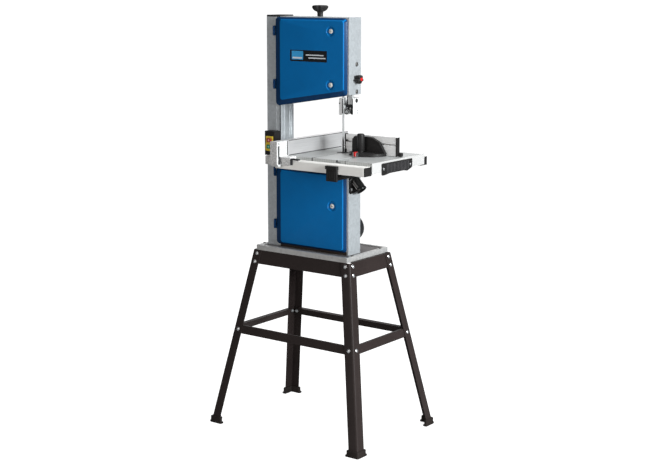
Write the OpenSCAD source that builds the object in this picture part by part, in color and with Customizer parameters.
// Two-wheel bench band saw on a splayed pressed-steel stand.
// Origin on the floor midway between the four feet, +Z up, doors facing -Y, blade side +X.

/* [Stand] */
// Height of the stand's top rails above the floor
stand_h = 640; // [620:5:660]
// Half width of the leg corners at the top
stand_top_x = 214; // [210:1:220]
// Half depth of the leg corners at the top
stand_top_y = 126; // [124:1:132]
// Half width of the leg corners at the floor
stand_foot_x = 331; // [310:1:350]
// Half depth of the leg corners at the floor
stand_foot_y = 237; // [220:1:250]
// Width of each flange of a leg
leg_w = 38; // [34:1:42]
// Thickness of the pressed steel
sheet = 2; // [1.5:0.5:2.5]
// Height of the top rails
rail_h = 49; // [45:1:52]
// Height of the lower braces' centre line
brace_z = 350; // [320:5:380]
// Height of a lower brace
brace_h = 30; // [26:1:32]

/* [Frame] */
// Width of the base tray
tray_w = 400; // [398:1:404]
// Depth of the base tray
tray_d = 248; // [246:1:250]
// Height of the base tray
tray_h = 18; // [17:1:20]
// Height of the column above the floor
column_top = 1471; // [1465:1:1475]
// Left face of the column
column_x = -187; // [-190:1:-184]
// Throat side face of the column
throat_x = -126; // [-128:1:-125]
// Right face of both wheel cases
case_x = 172; // [171:1:174]
// Front plane of the column and the cases
front_y = -75; // [-77:1:-74]
// Back plane of the wheel cases
back_y = -5; // [-6:1:-4]

/* [Wheels] */
// Middle of both wheels across the saw
wheel_x = -3; // [-3.5:0.5:-2.5]
// Outer radius of a tyre
tyre_r = 129.7; // [129:0.1:129.7]
// Height of the upper wheel's axle
upper_z = 1335; // [1333:1:1337]
// Height of the lower wheel's shaft
lower_z = 800; // [798:1:802]
// Middle of the wheels' width, front to back
wheel_y = -46; // [-47:0.5:-45]
// Width of the blade
blade_w = 12; // [8:1:13]

/* [Table] */
// Height of the table's top
table_z = 1009; // [1007:1:1011]
// Thickness of the table casting
table_t = 13; // [12:0.5:13]
// Left edge of the table
table_x0 = -45; // [-50:1:-40]
// Seam between the table and its extension
table_x1 = 266; // [260:1:270]
// Right face of the extension
table_x2 = 372; // [365:1:380]
// Front edge of the table
table_y0 = -222; // [-226:1:-218]
// Rear edge of the table
table_y1 = 80; // [76:1:84]
// Middle of the mitre slot
mitre_x = 236; // [234:1:240]
// Middle of the mitre head, front to back
mitre_y = -38; // [-39:1:-37]

/* [Fence] */
// Right face of the rip fence
fence_x = 28; // [20:1:34]
// Width of the rip fence
fence_w = 29; // [26:1:30]
// Height of the rip fence above the table
fence_h = 52; // [45:1:56]

/* [Hidden] */
$fn = 64;

fit = 0.05;                                  // radial clearance of a running fit
eps = 1;                                     // overshoot of a cutter past a face
lean_x = atan((stand_foot_x - stand_top_x) / stand_h);
lean_y = atan((stand_foot_y - stand_top_y) / stand_h);
leg_bottom = 3;                              // legs end inside their rubber feet
bolt_edge = 20;                              // bolt to leg corner
tray_top = stand_h + tray_h;
tray_floor = tray_top - 4;
blade_r = 130;                               // inner radius of the blade's loop
blade_t = 0.5;
blade_x = wheel_x + blade_r;
wheel_w = 18;
case_t = 1.6;                                // sheet thickness of the cases
upper_low_left = 1161;                       // upper case, lower edge at the column
upper_low_right = 1211;                      // upper case, lower edge at the right
upper_top = 1473;
lower_top = 945;
screw_x = 5;                                 // tension screw
screw_y = -16;
post_x = 151;                                // guide post
post_y = -36;
post_w = 22;
post_d = 10;
lock_z = 1264;
hinge_x = -150;                              // door hinge line
hinge_y = -81;
hinge_h = 27;
upper_hinges = [1222, 1409];
lower_hinges = [721, 911];
rail_y0 = table_y0 - 38;                     // front face of the front rail
rail_z0 = 968;
rail_z1 = 998;
rail_x0 = -1;
rail_x1 = table_x2 - 6;
rear_rail_x1 = table_x2 - 11;
motor_x = 68;
motor_z = 719;
port_x = 203;                                // mouth of the dust port
port_y = -40;
port_z = 882;
port_angle = 43;
port_r = 16.5;                               // bore that takes a hose's end
port_depth = 27;
port_outer = 19.5;
port_top = 918;                              // the spout stops under the tilting table
upper_latches = [[104, 1426], [103, 1243]];  // X and Z of each latch
lower_latches = [[110, 824]];
latch_reach = 168;                           // a turned tongue ends here, behind the case's right lip
coil_r = 6.6;                                // tension spring
coil_wire = 1.1;
coil_turns = 5;
coil_z0 = 1371.05;
coil_z1 = 1400.95;
coil_steps = 16;
coil_sides = 8;
pulley_y = -35;                              // front of both pulleys' grooves
pulley_w = 12;
drive_r = 45;
motor_pulley_r = 18;
guide_z = 1150;                              // middle of the thrust bearing
guard_x0 = 119.6;                            // folded sheet round the blade
guard_x1 = 169.2;
guard_y1 = -6.8;
guard_z0 = 1140;
guard_z1 = 1198;
slide_y = [-196, 44];                        // the extension's two slide bars
grip_y0 = -168;                              // grip on the extension's side
grip_y1 = 12;
clamp_x = 243;                               // clamp that holds the extension
clamp_z = 954;
slot_from = -8;                              // angles of the tilt slot's ends
slot_to = 53;
bar_y0 = -228;                               // front end of the fence's bar
head_x0 = -36;                               // left end of the fence's head
lever_y = rail_y0 - 15;
base_r = 68;                                 // mitre head
pivot_y = mitre_y - 6;                       // swivel axis, inside the upright of the head
mitre_z = table_z + 1.5;
reach = 700;                                 // longer than any leg

// ---------- helpers ----------
// Frame of the front face of the stand: x across, y inwards, z up the slope, origin at the top.
module front_face() translate([0, -stand_top_y, stand_h]) rotate([-lean_y, 0, 0]) children();
// Frame of the right face of the stand: x towards the back, y inwards.
module right_face() rotate([0, 0, 90]) translate([0, -stand_top_x, stand_h])
    rotate([-lean_x, 0, 0]) children();
module four_ways() {
    for (a = [0, 1], b = [0, 1]) mirror([a, 0, 0]) mirror([0, b, 0]) children();
}
// Cylinders along X and Y that start at the point given.
module along_x(p, r, l) translate(p) rotate([0, 90, 0]) cylinder(r = r, h = l);
module along_y(p, r, l) translate(p) rotate([-90, 0, 0]) cylinder(r = r, h = l);
// Box from its two corners.
module box(a, b) translate(a) cube([b[0] - a[0], b[1] - a[1], b[2] - a[2]]);
// Plate of a stand face between two slope distances, ends offset from the leg corners.
module face_plate(half, lean_own, lean_other, s0, s1, inset, depth, t) {
    grow = cos(lean_own) * tan(lean_other);
    translate([0, depth + t, 0]) rotate([90, 0, 0]) linear_extrude(t)
        polygon([[-half - s0 * grow + inset, -s0], [half + s0 * grow - inset, -s0],
                 [half + s1 * grow - inset, -s1], [-half - s1 * grow + inset, -s1]]);
}
function corner_x(z) = stand_top_x + (stand_h - z) * tan(lean_x);
function corner_y(z) = stand_top_y + (stand_h - z) * tan(lean_y);
// Lobed hand knob standing on z = 0.
module lobed_knob(r, h, lobes) {
    cylinder(r = r * 0.8, h = h);
    for (i = [0 : lobes - 1]) rotate([0, 0, i * 360 / lobes])
        translate([r * 0.75, 0, h * 0.12]) cylinder(r = r * 0.25, h = h * 0.76);
}

// ---------- stand ----------
// Everything behind the front face and left of the right face, between the floor and the top.
module inside_corner() intersection() {
    front_face() translate([-reach, 0, -reach]) cube([2 * reach, reach, 2 * reach]);
    right_face() translate([-reach, 0, -reach]) cube([2 * reach, reach, 2 * reach]);
    box([0, -reach, leg_bottom], [reach, 0, stand_h]);
}
// Slab of one flange, past the corner on its outer side.
module leg_flange(half, lean_own, lean_other, side) {
    grow = cos(lean_own) * tan(lean_other);
    low = half + reach * grow;
    high = half - 10 * grow;
    rotate([90, 0, 0]) translate([0, 0, -sheet]) linear_extrude(sheet + 5)
        polygon([[side * (high + 9), 10], [side * (high - leg_w), 10],
                 [side * (low - leg_w), -reach], [side * (low + 9), -reach]]);
}
module one_leg() intersection() {
    inside_corner();
    union() {
        front_face() leg_flange(stand_top_x, lean_y, lean_x, 1);
        right_face() leg_flange(stand_top_y, lean_x, lean_y, -1);
    }
}
module bolt_hole(r) rotate([-90, 0, 0]) translate([0, 0, -5]) cylinder(r = r, h = 30);
module front_bolts_at() {
    for (z = [stand_h - 12, stand_h - 42, brace_z]) front_face()
        translate([corner_x(z) - bolt_edge, 0, -(stand_h - z) / cos(lean_y)]) children();
}
module side_bolts_at() {
    for (z = [stand_h - 12, stand_h - 42, brace_z]) right_face()
        translate([-corner_y(z) + bolt_edge, 0, -(stand_h - z) / cos(lean_x)]) children();
}
module stand_legs() color("#2b2220") four_ways() difference() {
    one_leg();
    front_bolts_at() bolt_hole(4.1);
    side_bolts_at() bolt_hole(4.1);
}
module rail_pair(half, depth_half, lean_own, lean_other) {
    inset = 2.5 * sheet;
    for (a = [0, 1]) mirror([0, a, 0]) translate([0, -depth_half, stand_h]) rotate([-lean_own, 0, 0])
        face_plate(half, lean_own, lean_other, 0, rail_h / cos(lean_own), inset, sheet, sheet);
    for (a = [0, 1]) mirror([0, a, 0])
        box([-half + 26, -depth_half + sheet, stand_h - 2.4], [half - 26, -depth_half + 22, stand_h]);
}
module stand_rails() color("#2b2220") difference() {
    union() {
        rail_pair(stand_top_x, stand_top_y, lean_y, lean_x);
        rotate([0, 0, 90]) rail_pair(stand_top_y, stand_top_x, lean_x, lean_y);
    }
    four_ways() {
        front_bolts_at() bolt_hole(4.1);
        side_bolts_at() bolt_hole(4.1);
        translate([195, 85, stand_h - 5]) cylinder(r = 3.1, h = 10);
    }
}
module brace_pair(half, depth_half, lean_own, lean_other) {
    s0 = (stand_h - brace_z - brace_h / 2) / cos(lean_own);
    s1 = (stand_h - brace_z + brace_h / 2) / cos(lean_own);
    grow = cos(lean_own) * tan(lean_other);
    for (a = [0, 1]) mirror([0, a, 0]) translate([0, -depth_half, stand_h]) rotate([-lean_own, 0, 0]) {
        face_plate(half, lean_own, lean_other, s0, s1, 2.5 * sheet, sheet, sheet);
        shelf = half + s0 * grow - 30;
        box([-shelf, sheet, -s0 - sheet], [shelf, 16, -s0]);
    }
}
module stand_braces() color("#2b2220") difference() {
    union() {
        brace_pair(stand_top_x, stand_top_y, lean_y, lean_x);
        rotate([0, 0, 90]) brace_pair(stand_top_y, stand_top_x, lean_x, lean_y);
    }
    four_ways() {
        front_bolts_at() bolt_hole(4.1);
        side_bolts_at() bolt_hole(4.1);
    }
}
module rubber_feet() color("#161413") four_ways() difference() {
    x1 = stand_foot_x + 3.5;
    y1 = stand_foot_y + 3.5;
    union() {
        box([x1 - 55, -y1, 0], [x1, -y1 + 16, 7]);
        box([x1 - 16, -y1, 0], [x1, -y1 + 55, 7]);
        box([x1 - 51, -y1 + 2, 7], [x1 - 2, -y1 + 14, 23]);
        box([x1 - 14, -y1 + 2, 7], [x1 - 2, -y1 + 51, 23]);
    }
    one_leg();
}
module leg_bolt() {
    rotate([-90, 0, 0]) {
        translate([0, 0, -1.4]) cylinder(r = 6.6, h = 1.4);
        translate([0, 0, -3.2]) cylinder(r = 5, h = 1.8);
        cylinder(r = 3.9, h = 13);
        translate([0, 0, 2 * sheet]) cylinder(r = 7.2, h = 6, $fn = 6);
    }
}
module stand_bolts() color("silver") four_ways() {
    front_bolts_at() leg_bolt();
    side_bolts_at() leg_bolt();
    translate([195, 85, stand_h - 12]) cylinder(r = 2.9, h = tray_h + 12);
    translate([195, 85, tray_top]) cylinder(r = 5.2, h = 3.4, $fn = 6);
    translate([195, 85, stand_h - 7.4]) cylinder(r = 5.6, h = 5, $fn = 6);
}

// ---------- frame ----------
module base_tray() color("#9a9896") difference() {
    box([-tray_w / 2, -tray_d / 2, stand_h], [tray_w / 2, tray_d / 2, tray_top]);
    box([-tray_w / 2 + 11, -tray_d / 2 + 11, tray_floor],
        [tray_w / 2 - 11, tray_d / 2 - 11, tray_top + eps]);
    box([-tray_w / 2 + 13, -tray_d / 2 + 13, stand_h - eps],
        [tray_w / 2 - 13, tray_d / 2 - 13, tray_floor - 2]);
    difference() {
        box([-tray_w / 2 + 2, -tray_d / 2 + 2, stand_h - eps],
            [tray_w / 2 - 2, tray_d / 2 - 2, tray_top - 2]);
        box([-tray_w / 2 + 9, -tray_d / 2 + 9, stand_h - 2 * eps],
            [tray_w / 2 - 9, tray_d / 2 - 9, tray_top]);
    }
    for (x = [-195, 195], y = [-85, 85]) translate([x, y, stand_h - eps]) cylinder(r = 3.2, h = 30);
}
module column_profile(inset) polygon([
    [column_x + inset, front_y + inset], [-144 + inset / 2, front_y + inset],
    [-144 + inset / 2, front_y + 1.5 + inset], [throat_x - inset, front_y + 1.5 + inset],
    [throat_x - inset, -inset], [column_x + inset, -inset]]);
module column() color("#8e8d8b") difference() {
    union() {
        translate([0, 0, tray_floor]) linear_extrude(column_top - tray_floor) column_profile(0);
        box([throat_x, -53, lower_top], [throat_x + 1.4, -17, upper_low_left]);
    }
    translate([0, 0, tray_floor - eps]) linear_extrude(column_top - tray_floor + 2 * eps) column_profile(2);
    box([throat_x - 3, -62, upper_z - 75], [throat_x + 3, -30, upper_z + 62]);
    box([throat_x - 3, -62, lower_z - 62], [throat_x + 3, -30, lower_z + 75]);
}
module column_cap() color("#1c1a19")
    box([column_x, front_y, column_top], [throat_x, 0, column_top + 6]);

module upper_outline(inset) {
    slope = (upper_low_right - upper_low_left) / (case_x - throat_x);
    polygon([[throat_x - inset, upper_low_left + inset * (1 - slope)],
             [case_x - inset, upper_low_right + inset], [case_x - inset, upper_top - inset],
             [throat_x - inset, upper_top - inset]]);
}
module xz_prism(y0, y1) translate([0, y1, 0]) rotate([90, 0, 0]) linear_extrude(y1 - y0) children();
module upper_case() color("#aab0b4") difference() {
    union() {
        difference() {
            xz_prism(front_y, back_y) upper_outline(0);
            xz_prism(front_y + case_t, back_y - case_t) upper_outline(case_t);
            xz_prism(front_y - eps, front_y + 2 * case_t) upper_outline(9);
        }
        // guides of the tension block
        for (s = [-1, 1]) translate([wheel_x + s * 34.2, 0, 0]) {
            box([-1.9, -16, 1286], [1.9, back_y - case_t, 1420]);
            box([s > 0 ? -5.7 : -1.9, -16, 1286], [s > 0 ? 1.9 : 5.7, -13.3, 1420]);
            box([s > 0 ? -5.7 : -1.9, -8.7, 1286], [s > 0 ? 1.9 : 5.7, back_y - case_t, 1420]);
        }
        // post guide behind the lock knob
        box([post_x + post_w / 2 + 0.3, post_y - 9, 1224], [case_x - case_t, post_y + 9, 1300]);
        box([post_x - post_w / 2, post_y - 9, 1224], [case_x - case_t, post_y - post_d / 2 - 0.3, 1300]);
        box([post_x - post_w / 2, post_y + post_d / 2 + 0.3, 1224], [case_x - case_t, post_y + 9, 1300]);
    }
    box([blade_x - 8, wheel_y - 10, 1190], [blade_x + 6, wheel_y + 12, 1216]);
    box([post_x - post_w / 2 - 1, post_y - post_d / 2 - 1, 1190],
        [post_x + post_w / 2 + 1, post_y + post_d / 2 + 1, 1218]);
    translate([screw_x, screw_y, upper_top - 5]) cylinder(r = 4.3, h = 10);
    along_x([post_x, post_y, lock_z], 4.1, 40);
    along_y([wheel_x, -10, 1322], 3.6, 12);
    box([wheel_x - 3.6, -10, 1306], [wheel_x + 3.6, 2, 1322]);
}
module lower_case() color("#aab0b4") difference() {
    union() {
        difference() {
            box([throat_x, front_y, tray_floor], [case_x, back_y, lower_top]);
            box([throat_x - eps, front_y + case_t, tray_floor + case_t],
                [case_x - case_t, back_y - case_t, lower_top - case_t]);
            box([throat_x - eps, front_y - eps, tray_floor + 9],
                [case_x - 9, front_y + 2 * case_t, lower_top - 9]);
        }
        along_y([wheel_x, -17, lower_z], 24, 31);
        // upright that carries the table's trunnion
        xz_prism(-23, -19) polygon([[96, lower_top], [160, lower_top], [150, 961], [136, 973],
                                    [118, 973], [104, 961]]);
    }
    along_y([wheel_x, -20, lower_z], 17.5, 36);
    along_y([motor_x, -10, motor_z], 9, 10);
    along_y([blade_x, -30, 964], 4.1, 12);
    box([blade_x - 14, wheel_y - 10, lower_top - 4], [blade_x + 14, wheel_y + 10, lower_top + 2]);
    along_x([case_x - 4, port_y, 912], 17, 8);
}

// ---------- doors ----------
// Pressed door pan: back edge outline, bevels down to a flat front panel. "wall" shrinks it.
module door_pan(x0, x1, z0, z1, rise, wall) {
    depth = 14;
    tilt = atan(rise / (x1 - x0));
    flat_y = front_y - depth + wall;
    rear_y = front_y - 0.4 + (wall > 0 ? eps : 0);
    intersection() {
        translate([0, 0, z0 - 20]) linear_extrude(z1 - z0 + 40) polygon([
            [x0 + wall, rear_y], [x0 + wall, front_y - 2],
            [x0 + 30 + wall / 2, flat_y], [x1 - 13 - wall / 2, flat_y],
            [x1 - wall, front_y - 2], [x1 - wall, rear_y]]);
        translate([x0 - 20, 0, 0]) rotate([90, 0, 90]) linear_extrude(x1 - x0 + 40) polygon([
            [front_y + 5, z1 - wall], [front_y - 2, z1 - wall], [flat_y, z1 - 22 - wall / 2],
            [flat_y - 5, z1 - 26], [flat_y - 5, z0 - 200], [front_y + 5, z0 - 200]]);
        translate([x0, 0, z0]) rotate([0, -tilt, 0]) translate([-40, 0, 0])
            rotate([90, 0, 90]) linear_extrude(x1 - x0 + 120) polygon([
            [front_y + 5, wall], [front_y - 2, wall], [flat_y, 20 + wall / 2],
            [flat_y - 5, 24], [flat_y - 5, z1 - z0 + 200], [front_y + 5, z1 - z0 + 200]]);
    }
}
module door_shell(x0, x1, z0, z1, rise, hinges, latches) {
    difference() {
        union() {
            difference() {
                door_pan(x0, x1, z0, z1, rise, 0);
                door_pan(x0, x1, z0, z1, rise, 1.6);
            }
            for (p = latches) along_y([p[0], front_y - 14, p[1]], 19, 6);
            for (z = hinges) {
                translate([hinge_x, hinge_y, z]) cylinder(r = 4.8, h = hinge_h);
                box([hinge_x, hinge_y - 2, z], [x0 + 1.4, hinge_y + 4.6, z + hinge_h]);
            }
        }
        for (p = latches) {
            along_y([p[0], front_y - 15, p[1]], 17, 5);
            along_y([p[0], front_y - 16, p[1]], 4.1, 20);
        }
        for (z = hinges) translate([hinge_x, hinge_y, z - eps]) cylinder(r = 2.5 + fit, h = hinge_h + 2);
    }
}
module upper_door() color("#0d558c")
    door_shell(-145, 166, 1158, 1470, 51, upper_hinges, upper_latches);
module lower_door() color("#0d558c")
    door_shell(-145, 164, 663, 938, 0, lower_hinges, lower_latches);
module hinge_pins() color("#6d7275") for (z = concat(upper_hinges, lower_hinges)) {
    translate([hinge_x, hinge_y, z - 3.5]) cylinder(r = 2.5, h = hinge_h + 7);
    for (e = [z - 3.5, z + hinge_h + 0.5]) {
        translate([hinge_x, hinge_y, e]) cylinder(r = 3.6, h = 3);
        box([hinge_x - 3.6, hinge_y, e], [hinge_x + 3.6, front_y, e + 3]);
    }
}
// side is 1 for a tongue that points up at rest, and -1 for one that points down.
module latch(p, side) color("#c9ccce") difference() {
    union() {
        along_y([p[0], front_y - 13, p[1]], 7, 2.7);
        along_y([p[0], front_y - 11, p[1]], 4, 15.5);
        translate([p[0], 0, p[1]]) mirror([0, 0, side > 0 ? 1 : 0])
            box([-6, front_y + 3.5, p[0] - latch_reach], [6, front_y + 5.1, 6]);
    }
    box([p[0] - 1, front_y - 14, p[1] - 5.5], [p[0] + 1, front_y - 11.8, p[1] + 5.5]);
}

// ---------- wheels and drive ----------
module wheel_body(z, hub_bore) difference() {
    union() {
        difference() {
            along_y([wheel_x, wheel_y - wheel_w / 2, z], tyre_r - 2, wheel_w);
            along_y([wheel_x, wheel_y - wheel_w / 2 - eps, z], tyre_r - 12, wheel_w / 2 - 2);
            along_y([wheel_x, wheel_y + 3, z], tyre_r - 12, wheel_w);
        }
        along_y([wheel_x, wheel_y - wheel_w / 2, z], 22, wheel_w);
    }
    along_y([wheel_x, wheel_y - 20, z], hub_bore, 40);
    for (i = [0 : 4]) translate([wheel_x, 0, z]) rotate([0, i * 72 + 18, 0])
        along_y([0, wheel_y - 10, 72], 26, 20);
}
module tyre(z) color("#3a3533") difference() {
    along_y([wheel_x, wheel_y - 8, z], tyre_r, 16);
    along_y([wheel_x, wheel_y - 9, z], tyre_r - 2, 18);
}
module upper_wheel() color("#b9bcbe") wheel_body(upper_z, 14);
module upper_tyre() tyre(upper_z);
module upper_bearings() color("#d4d7d9") for (y = [wheel_y - 8.5, wheel_y + 0.5]) difference() {
    along_y([wheel_x, y, upper_z], 14, 8);
    along_y([wheel_x, y - 1, upper_z], 6 + fit, 10);
}
module upper_axle() color("#7e8386") {
    along_y([wheel_x, -61, upper_z], 6, 44);
    along_y([wheel_x, -60, upper_z], 9, 4.5);
    difference() {
        box([wheel_x - 18, -30, upper_z - 16], [wheel_x + 18, -18, upper_z + 16]);
        along_y([wheel_x, -31, upper_z], 6, 14);
    }
    along_x([wheel_x - 24, -24, upper_z], 3, 48);
}
module tension_block() color("#8b8f92") {
    difference() {
        union() {
            box([wheel_x - 32, -13, 1300], [wheel_x + 32, -9, 1408]);
            for (s = [-1, 1]) translate([wheel_x + s * 21.5, 0, 0])
                box([-2.8, -28, upper_z - 9], [2.8, -9, upper_z + 9]);
            box([screw_x - 13, -26, 1402], [screw_x + 13, -9, 1408]);
        }
        box([screw_x - 11, -14, 1348], [screw_x + 11, -8, 1402]);
        along_x([wheel_x - 30, -24, upper_z], 3 + fit, 60);
        along_y([wheel_x, -14, 1322], 3 + fit, 6);
        translate([screw_x, screw_y, 1400]) cylinder(r = 5, h = 10);
    }
    difference() {
        box([screw_x - 10.9, -24, 1360], [screw_x + 10.9, -10, 1370]);
        translate([screw_x, screw_y, 1358]) cylinder(r = 4 + fit, h = 14);
    }
}
module tension_spring() color("#9ea2a4") {
    n = coil_turns * coil_steps;
    points = [for (i = [0 : n], j = [0 : coil_sides - 1])
        let (a = i * 360 / coil_steps, b = j * 360 / coil_sides, r = coil_r + coil_wire * cos(b))
        [screw_x + r * cos(a), screw_y + r * sin(a),
         coil_z0 + (coil_z1 - coil_z0) * i / n + coil_wire * sin(b)]];
    sides = [for (i = [0 : n - 1], j = [0 : coil_sides - 1]) let (k = (j + 1) % coil_sides)
        [i * coil_sides + j, (i + 1) * coil_sides + j, (i + 1) * coil_sides + k, i * coil_sides + k]];
    first = [for (j = [0 : coil_sides - 1]) j];
    last = [for (j = [coil_sides - 1 : -1 : 0]) n * coil_sides + j];
    polyhedron(points = points, faces = concat(sides, [first], [last]), convexity = 6);
}
module tension_knob() color("#1c1a19") {
    translate([screw_x, screw_y, 1354]) cylinder(r = 4, h = 122);
    translate([screw_x, screw_y, upper_top + 0.3]) cylinder(r = 10, h = 17);
    translate([screw_x, screw_y, 1490]) lobed_knob(29, 22, 8);
}
module tracking_knob() color("#1c1a19") {
    along_y([wheel_x, -17.3, 1322], 3, 23.5);
    translate([wheel_x, 4, 1322]) rotate([-90, 0, 0]) lobed_knob(17, 16, 6);
}
module lower_wheel() color("#b9bcbe") {
    difference() {
        wheel_body(lower_z, 8);
        along_y([wheel_x, wheel_y - 10, lower_z], 8, 20);
    }
    difference() {
        union() {
            along_y([wheel_x, -37, lower_z], drive_r + 3, 2);
            along_y([wheel_x, pulley_y, lower_z], drive_r, pulley_w);
        }
        along_y([wheel_x, -40, lower_z], 8, 30);
        along_y([wheel_x, pulley_y + 2, lower_z], drive_r - 7, pulley_w);
    }
    difference() {
        along_y([wheel_x, -37, lower_z], 14, 14);
        along_y([wheel_x, -40, lower_z], 8, 30);
    }
}
module lower_tyre() tyre(lower_z);
module drive_shaft() color("#7e8386") {
    along_y([wheel_x, -62, lower_z], 8, 76);
    along_y([wheel_x, -61, lower_z], 13, 5.5);
}
module shaft_bearings() color("#d4d7d9") for (y = [-16, 2]) difference() {
    along_y([wheel_x, y, lower_z], 17.5, 11);
    along_y([wheel_x, y - 1, lower_z], 8 + fit, 13);
}
module motor() color("#1c1a19") {
    difference() {
        union() {
            box([motor_x - 46, back_y, motor_z - 46], [motor_x + 46, -1, motor_z + 46]);
            along_y([motor_x, -1, motor_z], 41, 74);
            for (i = [0 : 23]) translate([motor_x, 0, motor_z]) rotate([0, i * 15, 0])
                box([-1, 2, 38], [1, 72, 44]);
            box([motor_x - 24, 12, motor_z + 36], [motor_x + 24, 60, motor_z + 58]);
        }
        along_y([motor_x, -10, motor_z], 6 + fit, 30);
    }
    difference() {
        translate([motor_x, 73, motor_z]) rotate([-90, 0, 0]) rotate_extrude()
            polygon([[0, 0], [47, 0], [47, 24], [44, 30], [37, 33], [0, 33]]);
        for (i = [0 : 11]) translate([motor_x, 0, motor_z]) rotate([0, i * 30, 0])
            box([-2, 100, 14], [2, 108, 32]);
    }
}
module motor_pulley() color("#8b8f92") {
    along_y([motor_x, pulley_y, motor_z], motor_pulley_r, pulley_w);
    along_y([motor_x, pulley_y - 2, motor_z], motor_pulley_r + 3, 2);
    along_y([motor_x, pulley_y + pulley_w, motor_z], 6, 40);
}
// Outline round two pulleys, grown by g.
module belt_outline(g) {
    dx = motor_x - wheel_x;
    dz = motor_z - lower_z;
    dist = sqrt(dx * dx + dz * dz);
    big = drive_r + g;
    small = motor_pulley_r + g;
    turn = atan2(dz, dx);
    open = acos((big - small) / dist);
    translate([wheel_x, lower_z]) circle(r = big);
    translate([motor_x, motor_z]) circle(r = small);
    polygon([for (s = [-1, 1], p = s > 0 ? [0, 1] : [1, 0])
        p == 0 ? [wheel_x + big * cos(turn - s * open), lower_z + big * sin(turn - s * open)]
               : [motor_x + small * cos(turn - s * open), motor_z + small * sin(turn - s * open)]]);
}
module drive_belt() color("#1a1817") xz_prism(pulley_y + 1, pulley_y + pulley_w - 1) difference() {
    belt_outline(3.2);
    belt_outline(0.3);
}
module blade_outline(g) {
    translate([wheel_x, upper_z]) circle(r = blade_r + g);
    translate([wheel_x, lower_z]) circle(r = blade_r + g);
    translate([wheel_x - blade_r - g, lower_z]) square([2 * (blade_r + g), upper_z - lower_z]);
}
module blade() color("#c4c8ca") xz_prism(wheel_y - blade_w / 2, wheel_y + blade_w / 2) difference() {
    blade_outline(blade_t);
    blade_outline(0);
}

// ---------- upper guides ----------
module guide_post() color("#9b9fa1")
    box([post_x - post_w / 2, post_y - post_d / 2, guide_z + 26], [post_x + post_w / 2, post_y + post_d / 2, 1440]);
module guide_bracket() color("#2a2a2b") difference() {
    union() {
        box([post_x - 13, post_y - 8, guide_z + 16], [post_x + 13, post_y + 10, guide_z + 26]);
        box([post_x + 6, post_y - 6, guide_z - 8], [post_x + 13, post_y + 4, guide_z + 17]);
        // fork round the blade
        box([blade_x - 5.6, -38.5, guide_z + 12], [post_x - 12, -34, guide_z + 24]);
        for (x = [blade_x - 5.6, blade_x + 3.4])
            box([x, wheel_y - 5, guide_z + 12], [x + 3.6, -34, guide_z + 24]);
        // hanger and pin of the thrust bearing
        along_y([blade_x + 9, -37.6, guide_z], 4, 14);
        box([blade_x + 4, -28, guide_z - 6], [post_x - 2, -23.5, guide_z + 20]);
        // arm that carries the guard
        box([post_x - 10, -28, guide_z + 16], [guard_x1 - 1.2, guard_y1 - 1.2, guide_z + 26]);
    }
    for (x = [blade_x - 6, blade_x + 3]) along_x([x, wheel_y, guide_z + 18], 3, 4.5);
}
module thrust_bearing() color("#c9ccce") difference() {
    along_y([blade_x + 9, -39.6, guide_z], 10, 7.6);
    along_y([blade_x + 9, -40.6, guide_z], 7.8, 1.5);
    along_y([blade_x + 9, -38, guide_z], 4 + fit, 8);
}
module side_guides() color("#8b8f92") {
    along_x([blade_x - 5.6, wheel_y, guide_z + 18], 3, 5.2);
    along_x([blade_x + 0.9, wheel_y, guide_z + 18], 3, 6.1);
}
module blade_guard() color("#d2d4d5") {
    box([guard_x0, -61, guard_z0], [134, -59.8, guard_z1]);
    box([132.8, -59.8, guard_z0 + 20], [134, -54, guard_z1]);
    box([guard_x0, -59.8, guard_z0], [guard_x0 + 1.2, guard_y1 - 1.2, guard_z1]);
    box([guard_x0, guard_y1 - 1.2, guard_z0], [guard_x1, guard_y1, guard_z1]);
    box([guard_x1 - 1.2, -46, guard_z0], [guard_x1, guard_y1 - 1.2, guard_z1]);
    along_x([guard_x1, -26, 1189], 3.6, 2.2);
    for (z = [1146, 1156]) along_x([guard_x1, -20, z], 1.8, 1.2);
    along_y([123, -62.6, 1180], 2.4, 1.6);
}
module guide_lock_knob() color("#1c1a19") {
    along_x([post_x + post_w / 2 + 0.4, post_y, lock_z], 4, 19);
    translate([case_x + 1, post_y, lock_z]) rotate([0, 90, 0]) cylinder(r = 7, h = 5);
    translate([case_x + 5, post_y, lock_z]) rotate([0, 90, 0]) lobed_knob(16, 20, 6);
    translate([case_x + 24, post_y, lock_z]) rotate([0, 90, 0]) cylinder(r = 6.5, h = 3);
}
module lower_guide() color("#2a2a2b") {
    difference() {
        box([blade_x - 15, wheel_y - 8, 949], [blade_x + 15, wheel_y + 8, 965]);
        box([blade_x - 1, wheel_y - 9, 948], [blade_x + 1.5, wheel_y + 6.4, 966]);
    }
    box([blade_x - 18, wheel_y + 8, lower_top], [blade_x + 18, wheel_y + 11, 956]);
    for (s = [-1, 1]) translate([blade_x + s * 16, wheel_y, 0]) box([-2, -8, lower_top], [2, 11, 956]);
}

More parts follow.
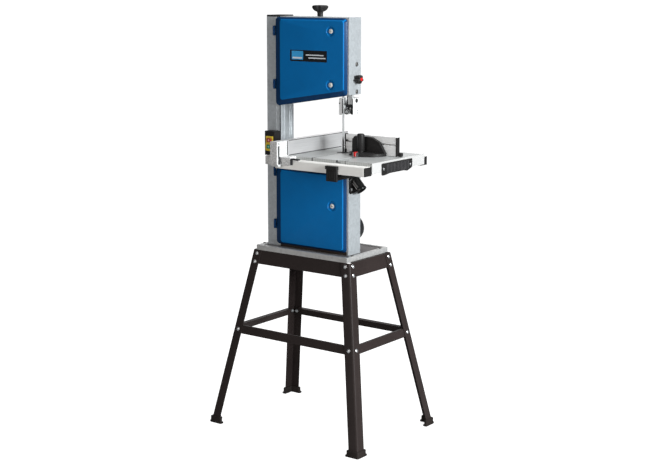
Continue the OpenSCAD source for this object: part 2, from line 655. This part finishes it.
// ---------- table ----------
module table() color("#c4c8c8") difference() {
    union() {
        box([table_x0, table_y0, table_z - table_t], [table_x1, table_y1, table_z]);
        for (y = slide_y, x = [table_x1 - 30, table_x1 - 90]) {
            box([x, y - 4.3, table_z - table_t - 17], [x + 14, y - 0.3, table_z - table_t]);
            box([x, y + 13.3, table_z - table_t - 17], [x + 14, y + 17.3, table_z - table_t]);
            box([x, y - 4.3, table_z - table_t - 17], [x + 14, y + 17.3, table_z - table_t - 13.3]);
        }
    }
    translate([blade_x, wheel_y, table_z - 3.5]) cylinder(r = 22, h = 5);
    translate([blade_x, wheel_y, table_z - table_t - eps]) cylinder(r = 20.4, h = table_t);
    box([blade_x - 1, table_y0 - eps, table_z - table_t - eps], [blade_x + 2, wheel_y, table_z + eps]);
    box([mitre_x - 9, table_y0 - eps, table_z - 8], [mitre_x + 9, table_y1 + eps, table_z + eps]);
    // pockets between the ribs underneath
    for (i = [0 : 5], j = [0 : 5]) let (x = table_x0 + 8 + i * 49, y = table_y0 + 8 + j * 48)
        if (abs(x + 21 - blade_x) > 70 || abs(y + 21 - wheel_y) > 50)
            if (x + 42 < table_x1 - 96)
                box([x, y, table_z - table_t - eps], [x + 42, y + 42, table_z - 6]);
}
module table_insert() color("#26262a") difference() {
    translate([blade_x, wheel_y, table_z - 3.5]) cylinder(r = 21.8, h = 3.3);
    box([blade_x - 2.5, wheel_y - 9, table_z - 5], [blade_x + 6.5, wheel_y + 30, table_z + 1]);
}
module rail(x1) difference() {
    box([rail_x0, 0, rail_z0], [x1, 38, rail_z1]);
    box([rail_x0 - eps, 2.5, rail_z0 + 2.5], [x1 + eps, 35.5, rail_z1 - 2.5]);
    box([rail_x0 - eps, 8, rail_z1 - 4], [x1 + eps, 14, rail_z1 + eps]);
}
module rail_caps(x1) for (x = [rail_x0 - 5, x1])
    box([x, 0.4, rail_z0 + 0.4], [x + 5, 37.6, rail_z1 - 0.4]);
module at_front() translate([0, rail_y0, 0]) children();
module at_rear() translate([0, table_y1 + 38, 0]) mirror([0, 1, 0]) children();
module table_rails() color("#e6e4e0") {
    at_front() rail(rail_x1);
    at_rear() rail(rear_rail_x1);
}
module rail_end_caps() color("#1c1a19") {
    at_front() rail_caps(rail_x1);
    at_rear() rail_caps(rear_rail_x1);
}
module extension_table() color("#c4c8c8") {
    box([table_x1 + 0.4, table_y0 + 0.4, table_z - table_t], [table_x2 - 4, table_y1 - 0.4, table_z]);
    box([table_x2 - 4, table_y0 + 0.4, table_z - 36], [table_x2, table_y1 + 11, table_z]);
    for (y = slide_y) {
        box([60, y, table_z - table_t - 13], [table_x2 - 4, y + 13, table_z - table_t - 0.4]);
        box([table_x1 + 8, y, table_z - table_t - 3], [table_x2 - 4, y + 13, table_z - table_t]);
    }
}
module extension_grip() color("#1c1a19") {
    translate([table_x2, 0, 0]) rotate([90, 0, 90]) linear_extrude(3)
        polygon([[grip_y0, 965], [grip_y0 + 4, 963], [grip_y1 - 26, 963], [grip_y1, 973],
                 [grip_y1, 1003], [grip_y0, 1003]]);
    for (i = [0 : 15]) let (y = grip_y0 + 24 + i * 8.4) box([table_x2 + 3, y, 967], [table_x2 + 6, y + 4, 999]);
    for (y = [grip_y0 + 10, grip_y1 - 12]) along_x([table_x2 + 3, y, 984], 3.5, 2);
}
module extension_clamp() color("#1c1a19") {
    box([clamp_x - 22, rail_y0 - 10, clamp_z - 10], [clamp_x + 20, rail_y0 - 0.8, 988]);
    box([clamp_x - 24, rail_y0 - 13, 984], [clamp_x + 22, rail_y0 - 0.8, 995]);
    box([clamp_x - 8, rail_y0 - 0.8, clamp_z - 9], [clamp_x + 8, -104, clamp_z + 4]);
    along_y([clamp_x, rail_y0 - 0.8, clamp_z], 8, 40);
}
// Half-disc under the table with a curved slot for the locking bolt.
module trunnion() color("#4a4c4e") xz_prism(-34, -26) difference() {
    translate([blade_x, table_z]) circle(r = 58);
    translate([blade_x - 70, table_z - table_t]) square([140, 80]);
    translate([blade_x, table_z]) circle(r = 20);
    intersection() {
        translate([blade_x, table_z]) difference() {
            circle(r = 49.3);
            circle(r = 40.7);
        }
        translate([blade_x, table_z]) polygon([[0, 0], 100 * [sin(slot_from), -cos(slot_from)],
            100 * [sin(slot_to), -cos(slot_to)]]);
    }
}
module tilt_knob() color("#1c1a19") {
    along_y([blade_x, -37, 964], 7, 2.8);
    along_y([blade_x, -36, 964], 4, 26);
    translate([blade_x, -11, 964]) rotate([-90, 0, 0]) lobed_knob(17, 18, 5);
}
module port_axis() translate([port_x, port_y, port_z]) rotate([0, -port_angle, 0]) children();
module dust_port() color("#1c1a19") difference() {
    union() {
        box([case_x, -74, 872], [case_x + 3, port_y + port_outer, port_top + 12]);
        difference() {
            port_axis() cylinder(r = port_outer, h = 51);
            box([case_x - 60, -100, port_top], [case_x + 60, 20, 1000]);
        }
        box([case_x, port_y - 18, port_top - 22], [case_x + 23, port_y + 18, port_top]);
        along_x([case_x + 3, -65, 886], 5, 3);
    }
    box([case_x - 60, -100, 800], [case_x, 20, 1000]);
    port_axis() translate([0, 0, -eps]) cylinder(r = port_r, h = port_depth + eps);
    along_x([case_x - eps, port_y, 905.5], 9, 14);
}

// ---------- rip fence ----------
module fence_head() color("#b9bbbb") {
    box([fence_x - fence_w, rail_y0 - 8, table_z + 0.6], [fence_x, bar_y0, table_z + fence_h]);
    difference() {
        box([head_x0, rail_y0 - 8, rail_z0 + 12], [61, rail_y0 - 0.6, table_z + 0.6]);
        box([-4, rail_y0 - 10, 970], [31, rail_y0 - 3.5, 994]);
    }
    box([head_x0, rail_y0 - 8, rail_z1 + 0.4], [61, table_y0 - 1, table_z + 0.6]);
}
module fence_bar() color("#d9dcdc") difference() {
    box([fence_x - fence_w, bar_y0, table_z + 0.6], [fence_x, 118, table_z + fence_h]);
    box([fence_x - fence_w + 2, bar_y0 - eps, table_z + 2.6], [fence_x - 2, 119, table_z + fence_h - 2]);
}
module fence_lever() color("#b9bbbb") {
    box([fence_x - fence_w, lever_y - 13, 984], [fence_x, lever_y + 6.6, table_z + fence_h]);
    box([-25, lever_y - 9, 982], [-1, lever_y + 2, 1011]);
    translate([fence_x - fence_w, lever_y, 984]) rotate([0, 90, 0]) cylinder(r = 9, h = fence_w);
}

// ---------- mitre gauge ----------
module mitre_bar() color("#9b9fa1") {
    box([mitre_x - 8.7, -128, table_z - 7.6], [mitre_x + 8.7, 92, table_z - 0.2]);
    box([mitre_x - 8, mitre_y - 92, table_z - 0.2], [mitre_x + 6, mitre_y - 75.6, table_z + 17]);
    translate([mitre_x, pivot_y, table_z - 0.2]) cylinder(r = 4, h = 12);
}
module mitre_head() color("#1c1a19") difference() {
    union() {
        difference() {
            translate([mitre_x, pivot_y, table_z + 0.8]) cylinder(r = base_r, h = 9);
            box([mitre_x - 90, mitre_y, table_z], [mitre_x + 90, mitre_y + 90, table_z + 12]);
        }
        xz_prism(mitre_y - 12, mitre_y) polygon([
            [mitre_x - 68, table_z + 9], [mitre_x - 68, table_z + 50], [mitre_x - 58, table_z + 61],
            [mitre_x + 12, table_z + 61], [mitre_x + 44, table_z + 46], [mitre_x + 68, table_z + 9]]);
    }
    translate([mitre_x, pivot_y, table_z - 1]) cylinder(r = 4 + fit, h = 13);
}
module mitre_grip() color("#1c1a19") {
    translate([mitre_x - 20, mitre_y - 28, table_z + 10.1]) cylinder(r = 9, h = 6);
    translate([mitre_x - 20, mitre_y - 28, table_z + 14]) cylinder(r = 13, h = 60);
}
module mitre_fence() {
    color("#d9dcdc") difference() {
        box([137, mitre_y, mitre_z], [341, mitre_y + 12, table_z + 66]);
        box([136, mitre_y + 2, mitre_z + 2], [342, mitre_y + 10, table_z + 64]);
        box([136, mitre_y - 1, table_z + 38], [342, mitre_y + 3, table_z + 42]);
    }
    color("#1c1a19") {
        box([129.5, mitre_y, mitre_z], [137, mitre_y + 12, mitre_z + 16]);
        box([133, mitre_y, mitre_z + 16], [137, mitre_y + 12, table_z + 65]);
        box([341, mitre_y - 1, mitre_z], [347, mitre_y + 14, table_z + 66]);
        box([347, mitre_y + 1, mitre_z], [362, mitre_y + 13, mitre_z + 13]);
    }
}

// ---------- switch ----------
module switch_box() color("#1c1a19") difference() {
    union() {
        box([-172, front_y - 33, 984], [-128, front_y, 1070]);
        translate([-150, front_y - 14, 972]) cylinder(r = 8, h = 12);
    }
    translate([-150, front_y - 14, 970]) cylinder(r = 3.5, h = 13);
    box([-161.5, front_y - 35, 1006.5], [-138.5, front_y - 26, 1046.5]);
}
module switch_plate() color("#c9a83a") difference() {
    union() {
        box([-166, front_y - 36, 1000], [-134, front_y - 33, 1052]);
        box([-166, front_y - 38, 1000], [-134, front_y - 36, 1026]);
    }
    box([-160, front_y - 40, 1008], [-140, front_y - 30, 1022]);
    box([-160, front_y - 40, 1031], [-140, front_y - 30, 1045]);
}
module button(z, proud) box([-159.7, front_y - proud, z + 0.3], [-140.3, front_y - 30, z + 13.7]);
module stop_button() color("#b03a2e") button(1031, 40);
module start_button() color("#3e8068") button(1008, 40.5);

stand_legs();
stand_rails();
stand_braces();
rubber_feet();
stand_bolts();
base_tray();
column();
column_cap();
upper_case();
lower_case();
upper_door();
lower_door();
hinge_pins();
latch(upper_latches[0], -1);  // upper_latch_top
latch(upper_latches[1], 1);  // upper_latch_bottom
latch(lower_latches[0], -1);  // lower_latch
upper_wheel();
upper_tyre();
upper_bearings();
upper_axle();
tension_block();
tension_spring();
tension_knob();
tracking_knob();
lower_wheel();
lower_tyre();
drive_shaft();
shaft_bearings();
motor();
motor_pulley();
drive_belt();
blade();
guide_post();
guide_bracket();
thrust_bearing();
side_guides();
blade_guard();
guide_lock_knob();
lower_guide();
table();
table_insert();
table_rails();
rail_end_caps();
extension_table();
extension_grip();
extension_clamp();
trunnion();
tilt_knob();
dust_port();
fence_head();
fence_bar();
fence_lever();
mitre_bar();
mitre_head();
mitre_grip();
mitre_fence();
switch_box();
switch_plate();
stop_button();
start_button();
